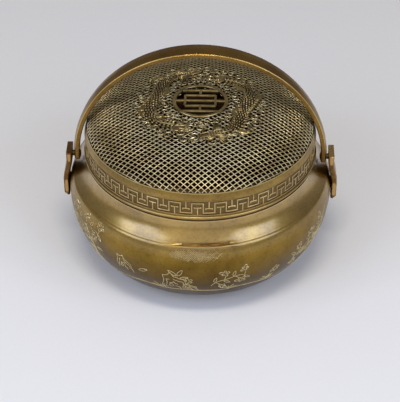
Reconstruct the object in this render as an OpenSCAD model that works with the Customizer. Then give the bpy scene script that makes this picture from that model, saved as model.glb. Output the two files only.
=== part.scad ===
// Round brass hand warmer: a squat vessel with a charcoal pan, a pierced domed lid
// and a bail handle that swings on two riveted lugs. Millimetres, +Z up, the origin
// at the middle of the foot, the handle's axis along X.

/* [Vessel] */
// Widest diameter of the belly
belly_d = 150; // [140:1:160]
// Height of the widest point above the foot
belly_h = 43.4; // [40:0.2:47]
// Diameter of the flat foot
foot_d = 76; // [66:1:86]
// Thickness of the beaten wall
wall = 2.2; // [1.6:0.1:2.6]
// How far the engraved shoulder line lies inside the widest point
line_in = 2.4; // [2:0.1:3]
// Height of the engraved shoulder line above the widest point
line_rise = 10.8; // [10:0.1:12]
// How far the shoulder draws in from the line to the neck
shoulder_in = 7.1; // [6.8:0.1:7.6]
// Rise of the shoulder from the line to the neck's rim
shoulder_rise = 12.4; // [12:0.1:13.4]
// Thickness of the foot disc
foot_t = 2; // [1.5:0.1:3]
// Height of the hollow under the foot disc
foot_recess = 1.2; // [0.6:0.1:2]
// Width of the ring that the vessel stands on
foot_ring = 4; // [3:0.5:6]

/* [Neck collar and charcoal pan] */
// Thickness of the collar inside the neck
collar_t = 1.6; // [1.2:0.1:2]
// Length of the collar below the rim
collar_drop = 8; // [6:0.5:10]
// Inward reach of the lip at the collar's foot, which the pan hangs on
collar_lip = 5.2; // [4:0.1:6]
// Height of the collar above the rim
collar_rise = 2; // [1.5:0.1:2.6]
// Thickness of the copper pan
pan_t = 1.2; // [0.8:0.1:1.6]
// How far the pan's rim lies on the lip
pan_rim_w = 1.9; // [1.4:0.1:2.4]
// Air gap between the pan and the foot disc
pan_air = 12; // [6:1:16]
// How far the pan's bottom reaches past the foot
pan_past = 2; // [0:0.5:4]

/* [Lid] */
// How far the lid's band stands inside the neck's edge
band_in = 0.5; // [0.3:0.05:0.6]
// Height of the upright band
band_h = 13.6; // [12.6:0.2:14.6]
// Height of the plain border over the band
border_h = 4.3; // [3.8:0.1:5]
// Inward lean of the plain border
border_in = 1.2; // [1:0.1:1.6]
// Height of the bead at the foot of the band
bead_h = 1.9; // [1.4:0.1:2.2]
// How far the bead stands out
bead_out = 0.65; // [0.4:0.05:0.8]
// Depth of the sunk frieze round the band
frieze_sink = 0.4; // [0.2:0.05:0.6]
// Height of the sunk frieze
frieze_h = 8.8; // [8:0.1:9.2]
// Plain strip between the frieze and the border
frieze_edge = 0.5; // [0.3:0.1:0.8]
// Rise of the grille's dome over its edge
dome_rise = 14.6; // [12:0.1:17]

/* [Grille] */
// Width of one grille cell from side to side
cell_w = 4.3; // [3.6:0.05:6]
// Length of one grille cell from front to back
cell_l = 3; // [2.8:0.05:6]
// Width of a grille strip
strip_w = 0.65; // [0.5:0.05:1.2]
// Thickness of a grille strip
strip_t = 0.6; // [0.4:0.05:0.8]
// Width of the rim that ends the strips
grille_rim_w = 1.2; // [0.8:0.1:1.6]
// Width of the ring that carries the grille
grille_ring_w = 3.4; // [2.5:0.1:5]
// Thickness of the ring that carries the grille
grille_ring_t = 1.3; // [1:0.1:2]

/* [Roundel and dragons] */
// Outside diameter of the roundel
roundel_d = 31; // [28:0.5:33]
// Width of the roundel's rim
roundel_rim = 1.9; // [1.4:0.1:2.4]
// Width of the roundel's bars
bar_w = 1.5; // [1:0.1:1.8]
// Thickness of the roundel
roundel_t = 1.1; // [0.8:0.1:1.5]
// Radius of the ring that the dragons chase round
dragon_r = 27.5; // [26:0.5:29]
// Greatest width of a dragon's body
dragon_w = 9; // [7:0.2:9.4]
// Sideways wave of a dragon's body
dragon_wave = 3; // [2:0.2:3.6]
// Thickness of the dragon relief
dragon_t = 1.3; // [1:0.1:1.6]

/* [Handle and lugs] */
// Distance of the handle's outer face from the neck
bail_out = 6.3; // [6:0.1:6.8]
// Thickness of the handle at its edges
bail_t = 2.2; // [2:0.1:2.6]
// Height of the ridge along the outside of the handle
bail_ridge = 0.6; // [0.3:0.1:0.8]
// Width of the handle at its top
bail_w = 10.4; // [9:0.2:12]
// Width of the handle at its pivots
bail_end_w = 6.4; // [5.8:0.2:6.8]
// Height of the handle's pierced ends, up to where the arch is brazed on
bail_end_h = 30; // [24:1:36]
// Depth of the pivots below the neck's rim
pivot_drop = 4.4; // [4:0.1:4.6]
// Diameter of the pivot pins
pin_d = 3.2; // [2.6:0.1:3.6]
// Diameter of the pins' heads
pin_head_d = 5.4; // [4.6:0.1:6]
// Height of the pins' heads
pin_head_t = 0.9; // [0.6:0.1:1.2]
// Width of a lug from front to back
lug_w = 12.4; // [10:0.2:14]
// Thickness of a lug
lug_t = 3.4; // [2.8:0.1:4]
// Gap between a lug and the handle
lug_gap = 1; // [0.7:0.1:1.2]
// Reach of a lug below its pivot
lug_drop = 25.7; // [23:0.1:27]
// Reach of a lug above its pivot
lug_rise = 3.8; // [3.5:0.1:5]
// Diameter of the lug rivets
rivet_d = 3; // [2.4:0.1:3.4]
// Diameter of the rivets' heads
rivet_head_d = 5.2; // [4.4:0.1:6]
// Height of the rivets' heads
rivet_head_t = 1; // [0.7:0.1:1.3]
// Distance between the two rivets of a lug
rivet_gap = 6.8; // [6.2:0.1:8]
// Height of the rivets' middle above the lug's lower end
rivet_rise = 6.8; // [6:0.1:7.4]

/* [Fits] */
// Gap between brazed or seated pieces
seat_gap = 0.1; // [0.05:0.01:0.2]
// Radial clearance of the handle on its pins
pin_gap = 0.06; // [0.03:0.01:0.1]
// Gap between pieces that move past each other
run_gap = 0.3; // [0.2:0.05:0.4]

/* [Hidden] */
$fn = 96;
brass = [0.62, 0.50, 0.25];
pale_brass = [0.72, 0.63, 0.42];
brown_brass = [0.55, 0.40, 0.20];
copper = [0.66, 0.38, 0.24];
big = 4 * belly_d;

// Vessel profile
belly_r = belly_d / 2;
foot_r = foot_d / 2;
line_r = belly_r - line_in;
line_h = belly_h + line_rise;
neck_r = line_r - shoulder_in;
neck_h = line_h + shoulder_rise;
mouth_r = neck_r - wall;
shell_steps = 18;
curve_steps = 9;

// Point at t of the cubic curve with end points a and d and handles b and c
function curve(a, b, c, d, t) =
    pow(1 - t, 3) * a + 3 * t * pow(1 - t, 2) * b + 3 * t * t * (1 - t) * c + pow(t, 3) * d;
function curve_points(a, b, c, d, n) = [for (i = [1 : n]) curve(a, b, c, d, i / n)];

belly_point = [belly_r, belly_h];
line_point = [line_r, line_h];
neck_point = [neck_r, neck_h];
lower_belly = [for (i = [0 : shell_steps])
    let (a = 90 - 90 * i / shell_steps)
    [foot_r + (belly_r - foot_r) * cos(a), belly_h * (1 - sin(a))]];
upper_belly = curve_points(belly_point, belly_point + [0, line_rise * 0.5],
    line_point + [line_in * 0.6, -line_rise * 0.22], line_point, curve_steps);
shoulder = curve_points(line_point, line_point + [-shoulder_in * 0.45, shoulder_rise * 0.18],
    neck_point + [shoulder_in * 0.05, -shoulder_rise * 0.48], neck_point, curve_steps + 3);
outer_profile = concat(lower_belly, upper_belly, shoulder);

// Unit normal towards the inside of the profile at point i
function inward(p, i) =
    let (a = p[max(i - 1, 0)], b = p[min(i + 1, len(p) - 1)], d = (b - a) / norm(b - a))
    [-d.y, d.x];
last = len(outer_profile) - 1;
inner_profile = [for (i = [0 : last])
    i == 0 ? outer_profile[0] + [0, wall]
    : i == last ? [mouth_r, neck_h]
    : outer_profile[i] + wall * inward(outer_profile, i)];

// Radius of a profile at height z, from the points either side of it
function radius_at(p, z) =
    let (i = max([for (k = [0 : len(p) - 2]) if (p[k].y <= z) k]),
        f = (z - p[i].y) / (p[i + 1].y - p[i].y))
    p[i].x + f * (p[i + 1].x - p[i].x);

// Charcoal pan, hung by its rim on the collar
collar_r = mouth_r - seat_gap;
collar_in_r = collar_r - collar_t;
collar_top = neck_h + collar_rise;
collar_foot = neck_h - collar_drop;
lip_in_r = collar_in_r - collar_lip;
pan_rim_z = collar_foot + pan_t + seat_gap;
pan_rim_r = lip_in_r + pan_rim_w;
pan_mouth_r = lip_in_r - run_gap;
pan_bottom_r = foot_r + pan_past;
pan_bottom_z = foot_recess + foot_t + pan_air;

// Lid
band_r = neck_r - band_in;
band_in_r = collar_r + run_gap;
lid_z = neck_h + seat_gap;
band_top = neck_h + band_h;
border_top = band_top + border_h;
lip_r = band_r - border_in;
frieze_top = band_top - frieze_edge;
frieze_foot = frieze_top - frieze_h;
border_steps = 9;
grille_r = lip_r - seat_gap;

// Dome: one sphere through the border's lip and the top of the grille
dome_r = (grille_r * grille_r + dome_rise * dome_rise) / (2 * dome_rise);
dome_top = border_top + dome_rise - seat_gap;
dome_z = dome_top - dome_r;
under_r = dome_r - strip_t - seat_gap / 2;
relief_r = dome_r + seat_gap / 2;

// Grille strips run along both diagonals of a cell
strip_angle = atan(cell_l / cell_w);
strip_pitch = cell_w * sin(strip_angle);
strip_count = floor(grille_r / strip_pitch);
roundel_r = roundel_d / 2;
grille_hole_r = roundel_r - roundel_rim - 0.4;

// Handle, lugs, pins and rivets
pivot_h = neck_h - pivot_drop;
bail_r = neck_r + bail_out;
bail_in_r = bail_r - bail_t - bail_ridge;
bail_end_r = bail_end_w / 2;
lug_in_x = bail_r + lug_gap;
lug_top = pivot_h + lug_rise;
lug_foot_h = pivot_h - lug_drop;
lug_low_x = belly_r + seat_gap;
lug_bend_low = belly_h + line_rise * 0.35;
lug_bend_high = pivot_h - pin_d / 2;
lug_steps = 10;
pin_in_x = bail_in_r - run_gap;
rivet_mid_h = lug_foot_h + rivet_rise;
rivet_heights = [rivet_mid_h - rivet_gap / 2, rivet_mid_h + rivet_gap / 2];
rivet_out_x = lug_low_x + lug_t - rivet_head_t;
pin_out_x = lug_in_x + lug_t - pin_head_t;

// Solid of revolution from a closed list of [radius, height] points
module turned(points) {
    rotate_extrude() polygon(points);
}

// Rod along +X from x0 to x1 at height z
module rod_x(d, x0, x1, z) {
    translate([x0, 0, z]) rotate([0, 90, 0]) cylinder(d = d, h = x1 - x0);
}

// Rod along +X with a domed head at each end, its heads' flat faces at x0 and x1
module headed_rod(d, head_d, head_t, x0, x1, z) {
    dome = [for (i = [0 : 6]) [head_d / 2 * cos(15 * i), head_t * sin(15 * i)]];
    translate([0, 0, z]) rotate([0, 90, 0]) turned(concat(
        [for (i = [6 : -1 : 0]) [dome[i].x, x0 - dome[i].y]],
        [[d / 2, x0], [d / 2, x1]],
        [for (i = [0 : 6]) [dome[i].x, x1 + dome[i].y]]));
}

// Spherical shell of the dome, from radius r to r + t
module dome_shell(r, t) {
    difference() {
        translate([0, 0, dome_z]) sphere(r = r + t, $fn = 128);
        translate([0, 0, dome_z]) sphere(r = r, $fn = 128);
        translate([0, 0, band_top - big / 2]) cube(big, center = true);
    }
}

module body_shell() {
    color(brass) difference() {
        turned(concat(outer_profile, [for (i = [last : -1 : 0]) inner_profile[i]],
            [[foot_r - foot_ring, wall], [foot_r - foot_ring, 0]]));
        for (z = rivet_heights) rod_x(rivet_d + 2 * seat_gap, -belly_d, belly_d, z);
    }
}

module foot_disc() {
    color(brass) translate([0, 0, foot_recess])
        cylinder(r = foot_r - foot_ring - seat_gap, h = foot_t);
}

module neck_collar() {
    color(brass) turned([[lip_in_r, collar_foot], [collar_r, collar_foot],
        [collar_r, collar_top], [collar_in_r, collar_top], [collar_in_r, collar_foot + pan_t],
        [lip_in_r, collar_foot + pan_t]]);
}

module charcoal_pan() {
    color(copper) turned([[0, pan_bottom_z], [pan_bottom_r, pan_bottom_z],
        [pan_mouth_r, pan_rim_z], [pan_rim_r, pan_rim_z], [pan_rim_r, pan_rim_z + pan_t],
        [pan_mouth_r - pan_t, pan_rim_z + pan_t], [pan_bottom_r - pan_t, pan_bottom_z + pan_t],
        [0, pan_bottom_z + pan_t]]);
}

// Inside edge of a lug: along the belly, then inward to the handle's end
function lug_edge(z) =
    let (f = min(max((z - lug_bend_low) / (lug_bend_high - lug_bend_low), 0), 1))
    lug_low_x + (lug_in_x - lug_low_x) * f * f * (3 - 2 * f);
lug_heights = concat([lug_foot_h],
    [for (i = [0 : lug_steps]) lug_bend_low + (lug_bend_high - lug_bend_low) * i / lug_steps],
    [lug_top]);

// Bent plate, bored for the pin and the rivets, with a sunk seat for each outer head
module lug() {
    n = len(lug_heights) - 1;
    outline = concat([for (z = lug_heights) [lug_edge(z), z]],
        [for (i = [n : -1 : 0]) [lug_edge(lug_heights[i]) + lug_t, lug_heights[i]]]);
    difference() {
        translate([0, lug_w / 2, 0]) rotate([90, 0, 0]) linear_extrude(lug_w) polygon(outline);
        rod_x(pin_d + seat_gap, 0, belly_d, pivot_h);
        rod_x(pin_head_d + 2 * seat_gap, pin_out_x - seat_gap, belly_d, pivot_h);
        for (z = rivet_heights) {
            rod_x(rivet_d + 2 * seat_gap, 0, belly_d, z);
            rod_x(rivet_head_d + 2 * seat_gap, rivet_out_x - seat_gap, belly_d, z);
        }
    }
}

module left_lug() {
    color(brown_brass) mirror([1, 0, 0]) lug();
}

module right_lug() {
    color(brown_brass) lug();
}

// Two rivets through the lug and the wall, headed at both ends
module lug_rivets() {
    for (z = rivet_heights) {
        wall_x = min(radius_at(inner_profile, z - rivet_head_d / 2),
            radius_at(inner_profile, z + rivet_head_d / 2)) - 2 * seat_gap;
        headed_rod(rivet_d, rivet_head_d, rivet_head_t, wall_x, rivet_out_x, z);
    }
}

module left_lug_rivets() {
    color(brown_brass) mirror([1, 0, 0]) lug_rivets();
}

module right_lug_rivets() {
    color(brown_brass) lug_rivets();
}

module pivot_pin() {
    headed_rod(pin_d, pin_head_d, pin_head_t, pin_in_x, pin_out_x, pivot_h);
}

module left_pivot_pin() {
    color(brown_brass) mirror([1, 0, 0]) pivot_pin();
}

module right_pivot_pin() {
    color(brown_brass) pivot_pin();
}

// Mirrors its children to -X for s = -1
module on_side(s) {
    mirror([s < 0 ? 1 : 0, 0, 0]) children();
}

// Side outline of the handle, from its clipped pivot end to its wide top
module bail_side() {
    corner = bail_end_r * 0.42;
    polygon([[corner - bail_end_r, -bail_end_r], [bail_end_r - corner, -bail_end_r],
        [bail_end_r, corner - bail_end_r], [bail_end_r, 0], [bail_w / 2, bail_r],
        [-bail_w / 2, bail_r], [-bail_end_r, 0], [-bail_end_r, corner - bail_end_r]]);
}

// Section of the handle: flat inside, a low ridge along the outside
bail_section = [[bail_in_r, -bail_w / 2], [bail_r - bail_ridge, -bail_w / 2], [bail_r, 0],
    [bail_r - bail_ridge, bail_w / 2], [bail_in_r, bail_w / 2]];

// The whole handle: the arch, its straight ends and the two bores for the pins
module bail() {
    translate([0, 0, pivot_h]) difference() {
        intersection() {
            union() {
                rotate([90, 0, 0]) rotate_extrude(angle = 180) polygon(bail_section);
                for (s = [-1, 1]) on_side(s) translate([0, 0, -bail_end_r])
                    linear_extrude(bail_end_r) polygon(bail_section);
            }
            rotate([90, 0, 90]) translate([0, 0, -big / 2]) linear_extrude(big) bail_side();
        }
        rod_x(pin_d + 2 * pin_gap, -big / 2, big / 2, 0);
    }
}

module bail_arch() {
    color(brown_brass) intersection() {
        bail();
        translate([-big / 2, -big / 2, pivot_h + bail_end_h]) cube(big);
    }
}

// The handle's end at +X, with the eye that turns on the pin
module bail_end() {
    intersection() {
        bail();
        translate([0, -big / 2, pivot_h + bail_end_h - seat_gap - big]) cube(big);
    }
}

module left_bail_end() {
    color(brown_brass) mirror([1, 0, 0]) bail_end();
}

module right_bail_end() {
    color(brown_brass) bail_end();
}

module lid_band() {
    border = [for (i = [0 : border_steps])
        let (u = i / border_steps)
        [lip_r + border_in * (1 - pow(u, 1.4)), band_top + border_h * u]];
    bead = [for (i = [0 : 6])
        let (a = -90 + 30 * i)
        [band_r + bead_out * cos(a), lid_z + bead_h / 2 * (1 + sin(a))]];
    color(brass) turned(concat(
        [[band_in_r, lid_z]], bead,
        [[band_r, frieze_foot], [band_r - frieze_sink, frieze_foot + frieze_sink / 2],
            [band_r - frieze_sink, frieze_top - frieze_sink / 2], [band_r, frieze_top]],
        border,
        [[lip_r, border_top - border_h * 0.72], [band_in_r, band_top]]));
}

// Ring under the grille's edge, its top following the dome
module grille_ring() {
    z_in = dome_z + sqrt(pow(under_r - strip_t - seat_gap, 2) - pow(grille_r - grille_ring_w, 2));
    z_out = dome_z + sqrt(pow(under_r - strip_t - seat_gap, 2) - pow(grille_r, 2));
    sag = 0.05;
    color(pale_brass) turned([[grille_r - grille_ring_w, z_in - grille_ring_t],
        [grille_r, z_out - grille_ring_t], [grille_r, z_out - sag],
        [grille_r - grille_ring_w, z_in - sag]]);
}

// One family of parallel strips on the dome, turned to the given angle from X, in a rim
module strips(r, angle) {
    intersection() {
        dome_shell(r - strip_t, strip_t);
        union() {
            difference() {
                for (i = [-strip_count : strip_count]) rotate(angle)
                    translate([-grille_r, i * strip_pitch - strip_w / 2, band_top])
                        cube([2 * grille_r, strip_w, big]);
                cylinder(r = grille_hole_r, h = 2 * big);
            }
            difference() {
                cylinder(r = grille_r, h = big);
                translate([0, 0, -big]) cylinder(r = grille_r - grille_rim_w, h = 3 * big);
            }
        }
        cylinder(r = grille_r, h = big);
    }
}

module grille_under_strips() {
    color(pale_brass) strips(under_r, -strip_angle);
}

module grille_over_strips() {
    color(pale_brass) strips(dome_r, strip_angle);
}

// Flat relief wrapped on the dome: the children's outline, t thick
module relief(t) {
    intersection() {
        dome_shell(relief_r, t);
        translate([0, 0, band_top]) linear_extrude(big) children();
    }
}

// Plain fret of rails between two upright stiles, inside a round rim
module roundel() {
    rim_in = roundel_r - roundel_rim;
    stile_x = rim_in * 0.62;
    rail_gap = rim_in * 0.36;
    color(pale_brass) relief(roundel_t) {
        difference() {
            circle(r = roundel_r);
            circle(r = rim_in);
        }
        intersection() {
            circle(r = rim_in + roundel_rim / 2);
            union() {
                for (k = [-1 : 1]) translate([-stile_x, k * rail_gap - bar_w / 2])
                    square([2 * stile_x, bar_w]);
                for (s = [-1, 1]) translate([-rim_in, 2 * s * rail_gap - bar_w / 2])
                    square([2 * rim_in, bar_w]);
                for (s = [-1, 1]) translate([-bar_w / 2, 1.5 * s * rail_gap - rail_gap / 2])
                    square([bar_w, rail_gap]);
                for (s = [-1, 1]) translate([s * stile_x - bar_w / 2, -rail_gap])
                    square([bar_w, 2 * rail_gap]);
                for (s = [-1, 1]) translate([s * rim_in * 0.85 - rim_in * 0.25, -bar_w / 2])
                    square([rim_in * 0.5, bar_w]);
            }
        }
    }
}

// Dragon: a waving body that chases round the roundel, from its neck to its tail
dragon_steps = 30;
dragon_start = -72;
dragon_sweep = 130;
function dragon_mid(t) =
    let (a = dragon_start + dragon_sweep * t, r = dragon_r + dragon_wave * sin(540 * t + 40))
    [r * cos(a), r * sin(a)];
function dragon_half(t) = dragon_w / 2 * (0.4 + 0.6 * pow(sin(20 + 150 * (1 - t)), 0.8));
function dragon_side(t) =
    let (e = 0.01, d = dragon_mid(min(t + e, 1)) - dragon_mid(max(t - e, 0)))
    [-d.y, d.x] / norm(d);
function dragon_edge(t, s) = dragon_mid(t) + s * dragon_half(t) * dragon_side(t);

// Closed leaf from a point along a heading, used for limbs, crest and tail fins
module leaf(from, heading, length, width) {
    along = [cos(heading), sin(heading)];
    across = [-sin(heading), cos(heading)];
    polygon([for (k = [0 : 11])
        let (a = 30 * k, u = (1 - cos(a)) / 2)
        from + (length * u - width / 4) * along + width / 2 * sin(a) * (1 - 0.35 * u) * across]);
}

module dragon() {
    head = dragon_mid(0);
    head_angle = dragon_start - 90;
    tail = dragon_mid(1);
    tail_angle = dragon_start + dragon_sweep + 90;
    limb_count = 6;
    relief(dragon_t) {
        polygon(concat([for (i = [0 : dragon_steps]) dragon_edge(i / dragon_steps, 1)],
            [for (i = [dragon_steps : -1 : 0]) dragon_edge(i / dragon_steps, -1)]));
        leaf(head, head_angle + 12, dragon_w * 1.3, dragon_w);
        leaf(head, head_angle + 150, dragon_w, dragon_w * 0.4);
        leaf(head, head_angle - 150, dragon_w, dragon_w * 0.4);
        for (k = [-1, 0, 1]) leaf(tail, tail_angle + 30 * k, dragon_w, dragon_w * 0.42);
        for (k = [1 : limb_count]) {
            t = k / (limb_count + 1);
            turn = k % 2 == 0 ? 52 : 128;
            leaf(dragon_mid(t), dragon_start + dragon_sweep * t + turn, dragon_w, dragon_w * 0.5);
        }
    }
}

module left_dragon() {
    color(pale_brass) rotate(180) dragon();
}

module right_dragon() {
    color(pale_brass) dragon();
}

body_shell();
foot_disc();
neck_collar();
charcoal_pan();
left_lug();
right_lug();
left_lug_rivets();
right_lug_rivets();
left_pivot_pin();
right_pivot_pin();
bail_arch();
left_bail_end();
right_bail_end();
lid_band();
grille_ring();
grille_under_strips();
grille_over_strips();
roundel();
left_dragon();
right_dragon();
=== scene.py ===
import math

import bpy
import numpy as np
from mathutils import Matrix


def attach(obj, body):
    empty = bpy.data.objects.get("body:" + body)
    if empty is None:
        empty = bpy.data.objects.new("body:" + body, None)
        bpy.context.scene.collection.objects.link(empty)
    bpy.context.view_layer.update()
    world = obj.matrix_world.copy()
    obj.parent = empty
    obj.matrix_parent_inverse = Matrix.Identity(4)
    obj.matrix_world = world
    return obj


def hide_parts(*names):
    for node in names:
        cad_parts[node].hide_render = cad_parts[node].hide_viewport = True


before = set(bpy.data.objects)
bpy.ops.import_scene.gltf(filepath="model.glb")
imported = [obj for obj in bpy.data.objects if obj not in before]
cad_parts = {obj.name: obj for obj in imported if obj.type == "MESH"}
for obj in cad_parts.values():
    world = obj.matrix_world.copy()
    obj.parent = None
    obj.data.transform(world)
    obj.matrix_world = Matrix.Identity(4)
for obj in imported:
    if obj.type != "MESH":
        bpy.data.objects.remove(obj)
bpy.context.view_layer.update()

# Foot disc: a round brass plate let into the ring that the vessel stands on.
# It is brazed in from below and only shows when the vessel is turned over.


def linear(hex_colour):
    """Linear RGBA of an sRGB hex colour."""
    parts = [int(hex_colour[i:i + 2], 16) / 255 for i in (1, 3, 5)]
    return [c / 12.92 if c <= 0.04045 else ((c + 0.055) / 1.055) ** 2.4 for c in parts] + [1.0]


def add(tree, kind, settings, inputs, out=0):
    """One shader node with its settings, and values or links for its sockets; gives one of its outputs."""
    node = tree.nodes.new("ShaderNode" + kind)
    for name, value in settings.items():
        setattr(node, name, value)
    for name, value in inputs.items():
        if isinstance(value, bpy.types.NodeSocket):
            tree.links.new(value, node.inputs[name])
        else:
            node.inputs[name].default_value = value
    return node.outputs[out]


def old_brass(name, gold, brown, worn, grime, gloss, dull, patch_mm, grain_mm, grain_depth_mm,
              dark_below_mm=-99, wax=0.12):
    """Rubbed old brass: tarnished in patches, darker towards the bottom below dark_below_mm, worn pale on
    its edges, and darkened in its hollows by grime and painted shade.
    gloss and dull are its roughness where it is bare and where it is stained; wax is the coat higher up.
    Real polishing lines are about 0.05 mm apart: grain_mm draws them coarser, so that they show."""
    speck_mm, dark_fall_mm, wax_from_mm, wax_full_mm, hollow_mm, pit_mm = 1.3, 34, 46.0, 57.0, 1.8, 0.03
    finish = bpy.data.materials.new(name)
    finish.use_nodes = True
    tree = finish.node_tree
    shader = tree.nodes["Principled BSDF"]
    shader.inputs["Metallic"].default_value = 1.0
    shader.inputs["Coat Roughness"].default_value = 0.2
    # Old hardened wax, which shines whiter than the metal under it
    shader.inputs["Coat IOR"].default_value = 1.8
    place = add(tree, "TexCoord", {}, {}, "Object")
    mm = add(tree, "VectorMath", {"operation": "SCALE"}, {"Vector": place, "Scale": 1000.0})
    patches = add(tree, "TexNoise", {}, {"Vector": mm, "Scale": 1 / patch_mm, "Detail": 6.0,
                                         "Roughness": 0.62})
    specks = add(tree, "TexNoise", {}, {"Vector": mm, "Scale": 1 / speck_mm, "Detail": 3.0,
                                        "Roughness": 0.6})
    flat = add(tree, "VectorMath", {"operation": "MULTIPLY"}, {0: mm, 1: (1, 1, 0)})
    around = add(tree, "VectorMath", {"operation": "LENGTH"}, {0: flat}, "Value")
    height = add(tree, "SeparateXYZ", {}, {0: mm}, "Z")
    rings = add(tree, "CombineXYZ", {}, {"X": around, "Y": height, "Z": patches})
    grain = add(tree, "TexNoise", {}, {"Vector": rings, "Scale": 1 / grain_mm, "Detail": 3.0,
                                       "Roughness": 0.7})
    tarnish = add(tree, "MapRange", {}, {"Value": patches, "From Min": 0.36, "From Max": 0.72,
                                         "To Max": 0.75})
    spots = add(tree, "MapRange", {}, {"Value": specks, "From Min": 0.5, "From Max": 0.78, "To Max": 0.4})
    spotted = add(tree, "Math", {"operation": "ADD"}, {0: tarnish, 1: spots})
    # Darker towards the bottom, below dark_below_mm
    low = add(tree, "MapRange", {}, {"Value": height, "From Min": dark_below_mm,
                                    "From Max": dark_below_mm - dark_fall_mm, "To Max": 0.88})
    waxed = add(tree, "MapRange", {}, {"Value": height, "From Min": wax_from_mm, "From Max": wax_full_mm,
                                      "To Max": wax})
    tree.links.new(waxed, shader.inputs["Coat Weight"])
    stain = add(tree, "Math", {"operation": "MINIMUM"}, {0: spotted, 1: 1.0})
    skin_colour = add(tree, "MixRGB", {}, {"Fac": stain, "Color1": linear(gold), "Color2": linear(brown)})
    body = add(tree, "MixRGB", {}, {"Fac": low, "Color1": skin_colour, "Color2": linear(grime)})
    edge = add(tree, "NewGeometry", {}, {}, "Pointiness")
    wear = add(tree, "MapRange", {}, {"Value": edge, "From Min": 0.52, "From Max": 0.6})
    rubbed = add(tree, "MixRGB", {}, {"Fac": wear, "Color1": body, "Color2": linear(worn)})
    # Grime and painted shade: ambient occlusion darkens the hollows towards the dark colour
    open_sky = add(tree, "AmbientOcclusion", {"samples": 8}, {"Distance": hollow_mm * 0.001}, "AO")
    clean = add(tree, "MapRange", {}, {"Value": open_sky, "From Min": 0.3, "From Max": 0.9})
    dirt = add(tree, "MixRGB", {}, {"Fac": clean, "Color1": linear(grime), "Color2": rubbed})
    tree.links.new(dirt, shader.inputs["Base Color"])
    rough = add(tree, "MapRange", {}, {"Value": stain, "To Min": gloss, "To Max": dull})
    tree.links.new(rough, shader.inputs["Roughness"])
    scratch = add(tree, "Bump", {}, {"Strength": 0.7, "Distance": grain_depth_mm * 0.001, "Height": grain})
    pits = add(tree, "Bump", {}, {"Strength": 0.5, "Distance": pit_mm * 0.001, "Height": specks,
                                  "Normal": scratch})
    tree.links.new(pits, shader.inputs["Normal"])
    return finish


# Olive-gold brass of the vessel and the lid's band, rubbed by hand and browned in patches, and darker
# towards the bottom of the vessel
vessel_brass = old_brass("hand-rubbed olive brass", "#b6933d", "#634817", "#e0c88a", "#443216",
                         0.28, 0.42, 23, 0.42, 0.012, 60, 0.9)


def finish_node(name, finish):
    """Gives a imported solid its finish."""
    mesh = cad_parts[name].data
    mesh.materials.clear()
    mesh.materials.append(finish)


finish_node("foot_disc", vessel_brass)

# Vessel: one sheet of brass raised by hammer into a squat bowl with a drawn-in neck.
# A fine engraved line runs round the shoulder and another round the foot of the belly.
belly_r, belly_h, foot_r, foot_ring, wall = 75.0, 43.4, 38.0, 4.0, 2.2
line_in, line_rise, shoulder_in, shoulder_rise = 2.4, 10.8, 7.1, 12.4
line_r, line_h = belly_r - line_in, belly_h + line_rise
neck_r, neck_h = line_r - shoulder_in, line_h + shoulder_rise
skin = 0.2


def bezier(a, b, c, d, n):
    """n points along a cubic curve, its start left out."""
    t = np.linspace(0, 1, n + 1)[1:, None]
    a, b, c, d = (np.array(p, float) for p in (a, b, c, d))
    return (1 - t) ** 3 * a + 3 * t * (1 - t) ** 2 * b + 3 * t * t * (1 - t) * c + t ** 3 * d


def grid(rows, columns, close_rows, close_columns):
    """Quads of a rows x columns net of points, closed round either way if asked."""
    i = np.arange(rows if close_rows else rows - 1)
    j = np.arange(columns if close_columns else columns - 1)
    i, j = np.meshgrid(i, j, indexing="ij")
    down, right = (i + 1) % rows, (j + 1) % columns
    quads = [i * columns + j, i * columns + right, down * columns + right, down * columns + j]
    return np.stack(quads, -1).reshape(-1, 4)


def lathe(points, turns):
    """Points and quads of an outline of (radius, height) turned about Z."""
    points = np.array(points, float)
    a = np.linspace(0, 2 * math.pi, turns, endpoint=False)
    r, z = points[:, None, 0], np.repeat(points[:, None, 1], turns, 1)
    turned = np.stack([r * np.sin(a), -r * np.cos(a), z], -1).reshape(-1, 3)
    return turned, grid(len(points), turns, False, True)


def sweep(path, normals, half, height, section, closed=False):
    """A section swept along a path that lies on a surface, mitred at its corners.
    half and height scale the section's (across, up) points, one number or one per path point."""
    path, normals = np.array(path, float), np.array(normals, float)
    n = len(path)
    half, height = np.broadcast_to(half, n), np.broadcast_to(height, n)
    step = np.roll(path, -1, 0) - path
    if not closed:
        step[-1] = step[-2]
    step /= np.linalg.norm(step, axis=1)[:, None] + 1e-12
    back = np.roll(step, 1, 0)
    if not closed:
        back[0] = step[0]
    along = step + back
    along /= np.linalg.norm(along, axis=1)[:, None] + 1e-12
    mitre = 1 / np.clip(np.sum(along * step, 1), 0.6, 1)
    across = np.cross(normals, along)
    across /= np.linalg.norm(across, axis=1)[:, None] + 1e-12
    section = np.array(section, float)
    sideways = (section[:, 0] * (half * mitre)[:, None])[..., None] * across[:, None]
    upward = (section[:, 1] * height[:, None])[..., None] * normals[:, None]
    return (path[:, None] + sideways + upward).reshape(-1, 3), grid(n, len(section), closed, False)


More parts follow.
